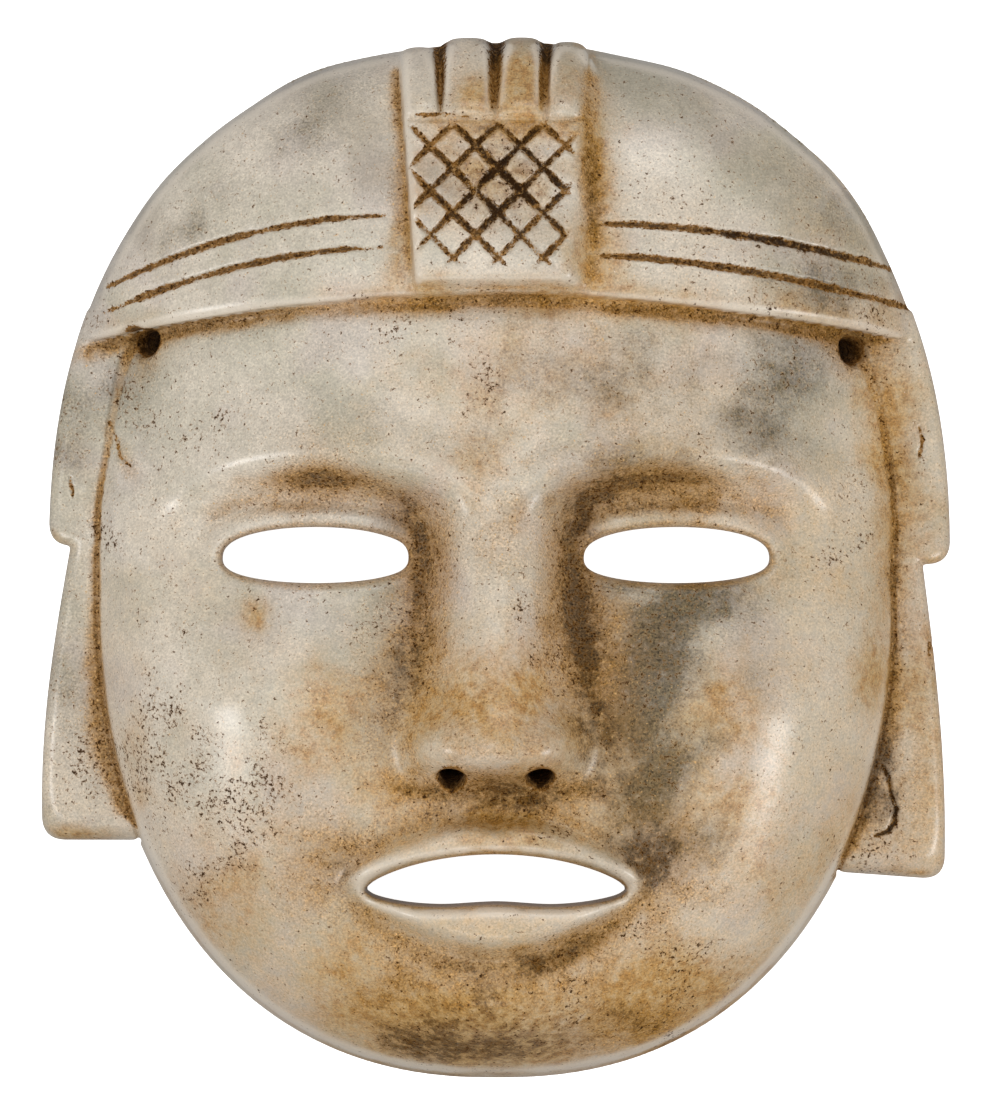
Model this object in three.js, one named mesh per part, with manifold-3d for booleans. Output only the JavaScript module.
// A carved stone mask, lying face up on its back rim, in millimetres.
// X runs to the right of the photograph, Y from chin to crown and Z out of the face.
// The origin is the middle of the footprint, on the resting plane.
// The mask is one carved piece, so every form below is joined to it or cut out of it.

import * as THREE from "three";
import { mergeVertices } from "three/addons/utils/BufferGeometryUtils.js";
import Module from "manifold-3d";

// Overall sizes
const MASK_HEIGHT = 180;
const CHIN_Y = -MASK_HEIGHT / 2;
const CAP_TOP_Y = 89.2;
const CAP_HALF_WIDTH = 78;
const CAP_SHIFT = 0.6;
const FACE_HALF_WIDTH = 70;
const OUTLINE_POWER = 2.3;

// The dome of the front, from the top of its side wall up to the middle
const EDGE_HEIGHT = 14;
const DOME_RISE = 33;
const DOME_POWER = 3;

// The hollow back
const HOLLOW_HALF_WIDTH = 60;
const HOLLOW_TOP_Y = 75;
const HOLLOW_BOTTOM_Y = -76;
const HOLLOW_DEPTH = 34;
const HOLLOW_POWER = 3.2;

// Face canon: eye line at half height, thirds from brow to chin, a face five eyes wide
const EYE_LINE_Y = 0;
const EYE_WIDTH = (2 * CAP_HALF_WIDTH) / 5;
const FACE_THIRD = 52;
const NOSE_BASE_Y = CHIN_Y + FACE_THIRD;
const BROW_Y = NOSE_BASE_Y + FACE_THIRD;
const MOUTH_Y = NOSE_BASE_Y - FACE_THIRD / 3;
const NOSE_HALF_WIDTH = EYE_WIDTH / 2;
const NOSE_RISE = 14;
const MOUTH_HALF_WIDTH = 24;
const EYE_RISE = 5;
const EYE_DROP = 3.8;
const BROW_ARCH = 0.0085;

// Headband: the cap stands proud of the forehead along an arched lower edge
const BAND_EDGE_Y = 45.5;
const BAND_EDGE_SAG = 6;
const BAND_EDGE_REACH = 60;
const BAND_STEP = 1.8;
const LINE_WIDTH = 1.3;
const LINE_DEPTH = 0.9;

// Lappet and ear flange, one plate on each side, cut by hand and so not quite alike
const PLATE_HEIGHT = 18;
const PLATE_FALL = 0.2;
const PLATE_INNER_X = 60;
const PLATE_TOP_Y = 42;
const PLATE_BEVEL = 2;
const PLATE_CORNER = 3;
const LEFT_PLATE = { side: -1, notchY: 2.2, notchDepth: 3.8, flare: 5, footY: -48.7, footRise: 0 };
const RIGHT_PLATE = { side: 1, notchY: -1, notchDepth: 4.8, flare: 3.9, footY: -55.6, footRise: 1.2 };

// The brow tablet with its cross-hatched panel and its row of lobes
const TABLET_FOOT_Y = 47.8;
const TABLET_LOBE_Y = 76;
const TABLET_TOP_Y = 90;
const TABLET_FOOT_HALF_WIDTH = 13.8;
const TABLET_TOP_HALF_WIDTH = 16;
const TABLET_PROUD = 4.2;
const LOBE_PROUD = 1.6;
const LOBE_EDGES = [-1, -0.61, -0.02, 0.54, 1];
const HATCH_PITCH = 8;
const HATCH_FOOT_Y = 50.6;
const HATCH_TOP_Y = 75;
const HATCH_MARGIN = 1;

// Drilled holes
const CORD_HOLE_RADIUS = 2.2;
const NOSTRIL_RADIUS = 2.3;

const wasm = await Module();
wasm.setup();

const clamp = THREE.MathUtils.clamp;
const mix = THREE.MathUtils.lerp;
const smoothstep = (low, high, value) => THREE.MathUtils.smoothstep(value, low, high);
const bell = (value) => Math.exp(-value * value);

// Where a point lies between the middle (0) and the edge (1) of a rounded outline
function outlineShare(x, y, halfWidth, top, bottom) {
  const across = (Math.abs(x) / halfWidth) ** OUTLINE_POWER;
  const along = (y > 0 ? y / top : y / bottom) ** OUTLINE_POWER;
  return (across + along) ** (1 / OUTLINE_POWER);
}

const faceShare = (x, y) => outlineShare(x, y, FACE_HALF_WIDTH, CAP_TOP_Y - 3, CHIN_Y);
const capShare = (x, y) => outlineShare(x - CAP_SHIFT, y, CAP_HALF_WIDTH, CAP_TOP_Y, CHIN_Y);
const hollowShare = (x, y) =>
  outlineShare(x, y, HOLLOW_HALF_WIDTH, HOLLOW_TOP_Y, HOLLOW_BOTTOM_Y);

// The dome falls away early at the temples and late at the jaw, which keeps the chin full
function domeHeight(share, y) {
  const power = DOME_POWER + 1.2 * (1 - smoothstep(-60, 0, y));
  const fall = 1 - clamp(share, 0, 1) ** power;
  return EDGE_HEIGHT + DOME_RISE * fall ** (0.5 + 0.5 * bell((y - 22) / 26));
}

const capHeight = (x, y) => domeHeight(capShare(x, y), y);
const bandEdge = (x) => BAND_EDGE_Y - BAND_EDGE_SAG * (x / BAND_EDGE_REACH) ** 2;

// Arched brow ridges over the hollows in which the eyes are pierced
function browAndSockets(x, y) {
  const side = Math.abs(x);
  const line = BROW_Y + 3.5 - BROW_ARCH * (side - EYE_WIDTH) ** 2;
  const outward = 1 - smoothstep(46, 62, side);
  const inward = mix(0.4, 1, smoothstep(2, 16, side));
  const ridge = 2.6 * bell((y - line) / (y < line ? 3.4 : 6.5)) * outward * inward;
  const under = 1 - smoothstep(-7, 1, y - line);
  const over = smoothstep(-27, 0, y - EYE_LINE_Y);
  const hollow = 6.2 * under * over * outward * smoothstep(5, 14, side);
  const corner = 3.6 * bell((side - 14) / 5.5) * bell((y - 1) / 10);
  return ridge - hollow - corner;
}

// A broad nose: a soft ridge, a rounded tip and two wings over a sloping underside
function nose(x, y) {
  const top = BROW_Y - 3;
  const down = clamp((top - y) / (top - NOSE_BASE_Y), 0, 1);
  const side = Math.abs(x);
  const spread = clamp(side / mix(9, NOSE_HALF_WIDTH + 1, down), 0, 1) ** 1.35;
  const ridge = mix(1, NOSE_RISE, down ** 1.1) * (0.5 + 0.5 * Math.cos(Math.PI * spread));
  const root = 1 - smoothstep(top - 8, top + 6, y);
  const wing = 6 * bell((side - 11) / 4.4) * bell((y - NOSE_BASE_Y - 6) / 5.5);
  const tip = 2 * bell(x / 7) * bell((y - NOSE_BASE_Y - 7) / 6);
  const underside = smoothstep(NOSE_BASE_Y - 2.5, NOSE_BASE_Y + 4, y);
  return (ridge * root + wing + tip) * underside;
}

// The opening between the lips, as heights above and below the mouth line
const mouthBow = (share) => Math.max(0, 1 - share ** 2) ** 0.7;
const mouthTop = (share) => 4 * mouthBow(share) - 1.5 * share ** 2;
const mouthFoot = (share) => -4.4 * mouthBow(share) + bell(share / 0.35) - 1.5 * share ** 2;

// Two full lips that roll into the opening
function lips(x, y) {
  const side = Math.abs(x);
  const share = clamp(side / MOUTH_HALF_WIDTH, 0, 1);
  const crest = MOUTH_Y + 11.5 - 8.5 * (side / MOUTH_HALF_WIDTH) ** 1.7 - 1.2 * bell(x / 3.4);
  const trough = MOUTH_Y - 13 + 10.5 * (side / MOUTH_HALF_WIDTH) ** 2;
  const ends = 1 - smoothstep(0.9, 1.2, side / MOUTH_HALF_WIDTH);
  const above = y - MOUTH_Y - mouthTop(share);
  const below = MOUTH_Y + mouthFoot(share) - y;
  const upper = smoothstep(-1.5, 3.4, crest - y) * smoothstep(-2, 2.4, above);
  const lower = smoothstep(-2, 3.6, y - trough) * smoothstep(-2, 2.8, below);
  const groove = bell(x / 2.8) * bell((y - NOSE_BASE_Y + 5) / 4);
  return ends * (3.6 * upper + 4.4 * lower) - 0.9 * groove;
}

// The swell behind the lips, the chin and the cheeks
function fullness(x, y) {
  const side = Math.abs(x);
  const muzzle = 5 * bell(x / 30) * bell((y - MOUTH_Y + 2) / 20);
  const chin = 7 * bell(x / 18) * bell((y - CHIN_Y - 12) / 8.5);
  const cheek = 4 * bell((side - 42) / 17) * bell((y + 25) / 20);
  return muzzle + chin + cheek;
}

// The temples are filled out to the groove beside the lappets
function temples(x, y) {
  const reach = smoothstep(-6, 6, y) * (1 - smoothstep(34, 44, y));
  return 2.4 * bell((Math.abs(x) - 66.5) / 4.5) * reach;
}

function faceHeight(x, y) {
  const relief = browAndSockets(x, y) + nose(x, y) + lips(x, y) + fullness(x, y);
  const inside = 1 - smoothstep(0.9, 1, faceShare(x, y));
  const dome = domeHeight(faceShare(x, y), y) - BAND_STEP * smoothstep(-10, 20, y);
  return dome + relief * inside + temples(x, y);
}

function hollowHeight(x, y) {
  const fall = 1 - clamp(hollowShare(x, y), 0, 1) ** HOLLOW_POWER;
  return HOLLOW_DEPTH * Math.sqrt(fall);
}

// The distance from a centre to the edge of an outline, found by halving
function edgeDistance(share, centre, angle) {
  let low = 0;
  let high = MASK_HEIGHT;
  for (let step = 0; step < 40; step += 1) {
    const middle = (low + high) / 2;
    const x = centre.x + middle * Math.cos(angle);
    const y = centre.y + middle * Math.sin(angle);
    if (share(x, y) < 1) low = middle;
    else high = middle;
  }
  return low;
}

// A solid body for the booleans, its triangles sharing their corners and none of them empty
function solidOf(geometry) {
  const bare = geometry.clone();
  bare.deleteAttribute("normal");
  bare.deleteAttribute("uv");
  const merged = mergeVertices(bare, 1e-4);
  const corners = merged.index.array;
  const kept = [];
  for (let i = 0; i < corners.length; i += 3) {
    const triangle = corners.slice(i, i + 3);
    if (new Set(triangle).size === 3) kept.push(...triangle);
  }
  const vertProperties = new Float32Array(merged.attributes.position.array);
  const triVerts = new Uint32Array(kept);
  return new wasm.Manifold(new wasm.Mesh({ numProp: 3, vertProperties, triVerts }));
}

// Each patch of two triangles is split along the shorter of its diagonals
function splitEvenly(geometry) {
  const place = geometry.attributes.position;
  const index = geometry.index;
  const length = (from, to) =>
    new THREE.Vector3()
      .fromBufferAttribute(place, from)
      .distanceTo(new THREE.Vector3().fromBufferAttribute(place, to));
  for (let i = 0; i < index.count; i += 6) {
    const a = index.getX(i);
    const b = index.getX(i + 1);
    const c = index.getX(i + 3);
    const d = index.getX(i + 2);
    const order = length(a, c) < length(b, d) ? [a, b, c, a, c, d] : [a, b, d, c, d, b];
    order.forEach((corner, k) => index.setX(i + k, corner));
  }
}

// A domed body on a flat foot: a round turning pulled out to its outline and up to its height
function domedSolid({ share, height, centre, sectors, innerRings, edgeRings, foot }) {
  const edgeStart = 0.88;
  const profile = [new THREE.Vector2(0, 1)];
  for (let i = 1; i <= innerRings; i += 1) {
    profile.push(new THREE.Vector2((edgeStart * i) / innerRings, 1));
  }
  for (let i = 1; i <= edgeRings; i += 1) {
    const outwards = Math.sin((Math.PI * i) / (2 * edgeRings));
    profile.push(new THREE.Vector2(edgeStart + (1 - edgeStart) * outwards, 1));
  }
  profile.push(new THREE.Vector2(1, 0), new THREE.Vector2(0, 0));
  profile.reverse();
  const geometry = new THREE.LatheGeometry(profile, sectors);
  const place = geometry.attributes.position;
  for (let i = 0; i < place.count; i += 1) {
    const sector = Math.floor(i / profile.length) % sectors;
    const turned = profile[i % profile.length];
    const angle = (2 * Math.PI * sector) / sectors - Math.PI / 2;
    const reach = turned.x * edgeDistance(share, centre, angle);
    const x = centre.x + reach * Math.cos(angle);
    const y = centre.y + reach * Math.sin(angle);
    place.setXYZ(i, x, y, turned.y > 0.5 ? height(x, y) : foot);
  }
  splitEvenly(geometry);
  return solidOf(geometry);
}

function faceSolid() {
  return domedSolid({
    share: faceShare,
    height: faceHeight,
    centre: new THREE.Vector2(0, MOUTH_Y + 9),
    sectors: 76,
    innerRings: 20,
    edgeRings: 3,
    foot: 0,
  });
}

// The cap: a dome cut off along the arched lower edge of the band
function capSolid() {
  const dome = domedSolid({
    share: capShare,
    height: capHeight,
    centre: new THREE.Vector2(0, 50),
    sectors: 52,
    innerRings: 7,
    edgeRings: 4,
    foot: 0,
  });
  const shape = new THREE.Shape();
  const reach = CAP_HALF_WIDTH + 6;
  shape.moveTo(-reach, MASK_HEIGHT);
  for (let x = -reach; x <= reach; x += reach / 12) shape.lineTo(x, bandEdge(x));
  shape.lineTo(reach, MASK_HEIGHT);
  const region = new THREE.ExtrudeGeometry(shape, { depth: 80, bevelEnabled: false });
  region.translate(0, 0, -5);
  return dome.intersect(solidOf(region));
}

// The hollow runs a little below the resting plane, so that its cut leaves no skin there
function hollowSolid() {
  return domedSolid({
    share: hollowShare,
    height: hollowHeight,
    centre: new THREE.Vector2(0, 0),
    sectors: 40,
    innerRings: 4,
    edgeRings: 3,
    foot: -2,
  });
}

// The cap's outer edge at a given height up the mask
function capEdge(y) {
  const along = clamp(Math.abs(y) / CAP_TOP_Y, 0, 1) ** OUTLINE_POWER;
  return CAP_HALF_WIDTH * (1 - along) ** (1 / OUTLINE_POWER);
}

// One plate: the cap's lappet, a notch below it, and the flared ear flange with a cut-off foot
function plateSolid({ side, notchY, notchDepth, flare, footY, footRise }) {
  const shape = new THREE.Shape();
  const edge = (y) => side * capEdge(y) + CAP_SHIFT;
  const out = (x, distance) => x + side * distance;
  shape.moveTo(side * PLATE_INNER_X, PLATE_TOP_Y);
  for (let y = PLATE_TOP_Y; y > notchY + PLATE_CORNER; y -= 5) shape.lineTo(edge(y), y);
  const lappetX = edge(notchY);
  shape.lineTo(lappetX, notchY + PLATE_CORNER);
  shape.quadraticCurveTo(lappetX, notchY, out(lappetX, -PLATE_CORNER), notchY);
  const flangeX = out(lappetX, -notchDepth);
  shape.lineTo(flangeX, notchY - 1);
  const footX = out(flangeX, flare);
  shape.quadraticCurveTo(out(footX, -1), (notchY + footY) / 2, footX, footY + PLATE_CORNER);
  shape.quadraticCurveTo(footX, footY, out(footX, -PLATE_CORNER), footY);
  shape.lineTo(side * (PLATE_INNER_X - 6), footY + footRise);
  const geometry = new THREE.ExtrudeGeometry(shape, {
    depth: PLATE_HEIGHT - 2 * PLATE_BEVEL,
    bevelThickness: PLATE_BEVEL,
    bevelSize: PLATE_BEVEL,
    bevelOffset: -PLATE_BEVEL,
    bevelSegments: 2,
    curveSegments: 4,
  });
  geometry.translate(0, 0, PLATE_BEVEL);
  const place = geometry.attributes.position;
  for (let i = 0; i < place.count; i += 1) {
    const outwards = Math.abs(place.getX(i)) - FACE_HALF_WIDTH;
    place.setZ(i, place.getZ(i) * (1 - (PLATE_FALL * outwards) / PLATE_HEIGHT));
  }
  return solidOf(geometry);
}

// The front of the tablet follows the cap, which curves back towards the crown
const tabletGround = (x, y) => capHeight(x, Math.min(y, CAP_TOP_Y - 1.2));

function tabletHalfWidth(y) {
  const share = (y - TABLET_FOOT_Y) / (TABLET_TOP_Y - TABLET_FOOT_Y);
  return mix(TABLET_FOOT_HALF_WIDTH, TABLET_TOP_HALF_WIDTH, share);
}

// How round a lobe stands at a share of the tablet's width: 0 between lobes, 1 on a crest
function lobeRound(share) {
  const index = clamp(LOBE_EDGES.findIndex((edge) => edge > share) - 1, 0, 3);
  const lobe = share >= 1 ? 3 : index;
  const width = LOBE_EDGES[lobe + 1] - LOBE_EDGES[lobe];
  const across = (2 * (share - LOBE_EDGES[lobe])) / width - 1;
  return Math.sqrt(clamp(1 - across ** 2, 0, 1));
}

// A block bent from a plain box, its front laid at a height over the cap
function tabletBlock({ footY, topY, across, along, proud }) {
  const block = new THREE.BoxGeometry(2, 1, 1, across, along, 1);
  const place = block.attributes.position;
  for (let i = 0; i < place.count; i += 1) {
    const share = place.getX(i);
    const y = mix(footY, topY(share), place.getY(i) + 0.5);
    const x = share * tabletHalfWidth(y);
    const lift = place.getZ(i) > 0 ? proud(share) : -6;
    place.setXYZ(i, x, y, tabletGround(x, y) + lift);
  }
  return solidOf(block);
}

function tabletSolid() {
  const panel = tabletBlock({
    footY: TABLET_FOOT_Y,
    topY: () => TABLET_LOBE_Y + 1,
    across: 6,
    along: 6,
    proud: () => TABLET_PROUD,
  });
  const lobes = tabletBlock({
    footY: TABLET_LOBE_Y,
    topY: (share) => TABLET_TOP_Y - 2.4 + 2.4 * lobeRound(share),
    across: 24,
    along: 4,
    proud: (share) => mix(0.8, TABLET_PROUD + LOBE_PROUD, lobeRound(share)),
  });
  return panel.subtract(hatching()).add(lobes);
}

// A V-shaped cut: a three-sided bar bent along a path on a curved front, fading at both ends
function incision(path, ground, steps) {
  const bar = new THREE.CylinderGeometry(1, 1, 1, 3, steps);
  const place = bar.attributes.position;
  for (let i = 0; i < place.count; i += 1) {
    const share = 0.5 - place.getY(i);
    const point = path(share);
    const before = path(share - 0.01);
    const along = path(share + 0.01).sub(before).normalize();
    const strength = Math.min(1, 0.3 + 5 * Math.min(share, 1 - share));
    const aside = (place.getX(i) * LINE_WIDTH * strength) / Math.sqrt(3);
    const depth = place.getZ(i) > 0.1 ? LINE_DEPTH * strength : -0.5;
    const x = point.x + aside * along.y;
    const y = point.y - aside * along.x;
    place.setXYZ(i, x, y, ground(point.x, point.y) - depth);
  }
  return solidOf(bar);
}

// Two families of slanting lines that cross into a lattice of lozenges
function hatching() {
  const middle = new THREE.Vector2(0.35, 63.3);
  const ground = (x, y) => tabletGround(x, y) + TABLET_PROUD;
  const cuts = [];
  [1, -1].forEach((slant) => {
    for (let offset = -4.5; offset <= 4.5; offset += 1) {
      const lineX = (y) => middle.x + slant * (HATCH_PITCH * offset + y - middle.y);
      const heights = [];
      for (let y = HATCH_FOOT_Y; y <= HATCH_TOP_Y; y += 0.4) {
        if (Math.abs(lineX(y)) < tabletHalfWidth(y) - HATCH_MARGIN) heights.push(y);
      }
      if (heights.length > 5) {
        const path = (share) => {
          const y = mix(heights[0], heights.at(-1), share);
          return new THREE.Vector2(lineX(y), y);
        };
        cuts.push(incision(path, ground, Math.ceil(heights.length / 8)));
      }
    }
  });
  return cuts.reduce((all, cut) => all.add(cut));
}

// The double lines on each half of the band, arching down towards the temples
function bandLines() {
  const lines = [
    [-19, 58.6, -67, 48.6],
    [-19, 53, -68, 42.2],
    [19, 57.2, 69, 50],
    [18, 52.2, 71, 43.2],
  ];
  const cuts = lines.map(([startX, startY, endX, endY]) => {
    const sag = (share) => Math.sign(share) * Math.abs(share) ** 1.5;
    const path = (share) =>
      new THREE.Vector2(mix(startX, endX, share), mix(startY, endY, sag(share)));
    return incision(path, capHeight, 12);
  });
  return cuts.reduce((all, cut) => all.add(cut));
}

// An opening cut from the hollow to the front, a little wider at the front
function throughCut(outline, growth) {
  const depth = 90;
  const shape = new THREE.Shape(outline);
  const geometry = new THREE.ExtrudeGeometry(shape, { depth, bevelEnabled: false, steps: 1 });
  const middle = new THREE.Box2().setFromPoints(outline).getCenter(new THREE.Vector2());
  const place = geometry.attributes.position;
  for (let i = 0; i < place.count; i += 1) {
    const scale = 1 + growth * (place.getZ(i) / depth);
    place.setX(i, middle.x + (place.getX(i) - middle.x) * scale);
    place.setY(i, middle.y + (place.getY(i) - middle.y) * scale);
  }
  geometry.translate(0, 0, -5);
  return solidOf(geometry);
}

// An eye slit, nearly straight below and gently arched above
function eyeOutline(side) {
  const points = [];
  const steps = 11;
  for (let i = 0; i < 2 * steps; i += 1) {
    const angle = (Math.PI * i) / steps;
    const bulge = Math.abs(Math.sin(angle)) ** 0.8;
    const rise = i < steps ? EYE_RISE : -EYE_DROP;
    const x = side * EYE_WIDTH + (Math.cos(angle) * EYE_WIDTH) / 2;
    points.push(new THREE.Vector2(x, EYE_LINE_Y + rise * bulge));
  }
  return points;
}

// The parted mouth, a low arch with its corners a little lower
function mouthOutline() {
  const points = [];
  const steps = 9;
  const reach = MOUTH_HALF_WIDTH - 2;
  for (let i = -steps; i < steps; i += 1) {
    points.push(new THREE.Vector2((i / steps) * reach, MOUTH_Y + mouthFoot(i / steps)));
  }
  for (let i = steps; i > -steps; i -= 1) {
    points.push(new THREE.Vector2((i / steps) * reach, MOUTH_Y + mouthTop(i / steps)));
  }
  return points;
}

function bore(from, to, radius) {
  const along = new THREE.Vector3().subVectors(to, from);
  const cylinder = new THREE.CylinderGeometry(radius, radius, along.length(), 12);
  const up = new THREE.Vector3(0, 1, 0);
  const turn = new THREE.Quaternion().setFromUnitVectors(up, along.clone().normalize());
  cylinder.applyQuaternion(turn);
  const middle = new THREE.Vector3().addVectors(from, to).multiplyScalar(0.5);
  cylinder.translate(middle.x, middle.y, middle.z);
  return solidOf(cylinder);
}

// The two cord holes slant inwards from the temples and come out in the hollow
function cordHoles() {
  const left = bore(
    new THREE.Vector3(-68.5, 38, 36),
    new THREE.Vector3(-52, 36.7, 3),
    CORD_HOLE_RADIUS,
  );
  const right = bore(
    new THREE.Vector3(70.3, 36.4, 36),
    new THREE.Vector3(53.4, 35.5, 3),
    CORD_HOLE_RADIUS,
  );
  return left.add(right);
}

// The two nostrils are drilled into the underside of the nose
function nostrils() {
  const drill = (side) => {
    const mouth = new THREE.Vector3(side * 7.8, NOSE_BASE_Y - 5, 68);
    const end = new THREE.Vector3(side * 7.4, NOSE_BASE_Y + 4.5, 40);
    return bore(mouth, end, NOSTRIL_RADIUS);
  };
  return drill(-1).add(drill(1));
}

function maskSolid() {
  const cap = capSolid().subtract(bandLines()).add(tabletSolid());
  const plates = plateSolid(LEFT_PLATE).add(plateSolid(RIGHT_PLATE));
  const carved = faceSolid().add(cap).add(plates);
  const eyes = throughCut(eyeOutline(-1), 0.12).add(throughCut(eyeOutline(1), 0.12));
  const mouth = throughCut(mouthOutline(), 0.08);
  const openings = eyes.add(mouth).add(cordHoles()).add(nostrils());
  return carved.subtract(hollowSolid()).subtract(openings);
}

function meshFrom(solid, name, material) {
  const made = solid.getMesh();
  const geometry = new THREE.BufferGeometry();
  geometry.setAttribute("position", new THREE.BufferAttribute(made.vertProperties, 3));
  geometry.setIndex(new THREE.BufferAttribute(made.triVerts, 1));
  geometry.computeVertexNormals();
  const mesh = new THREE.Mesh(geometry, material);
  mesh.name = name;
  return mesh;
}

const stone = new THREE.MeshStandardMaterial({ color: 0xb9ae9c, roughness: 0.35, metalness: 0 });
const mask = new THREE.Group();
mask.add(meshFrom(maskSolid(), "jade_mask", stone));

export default mask;
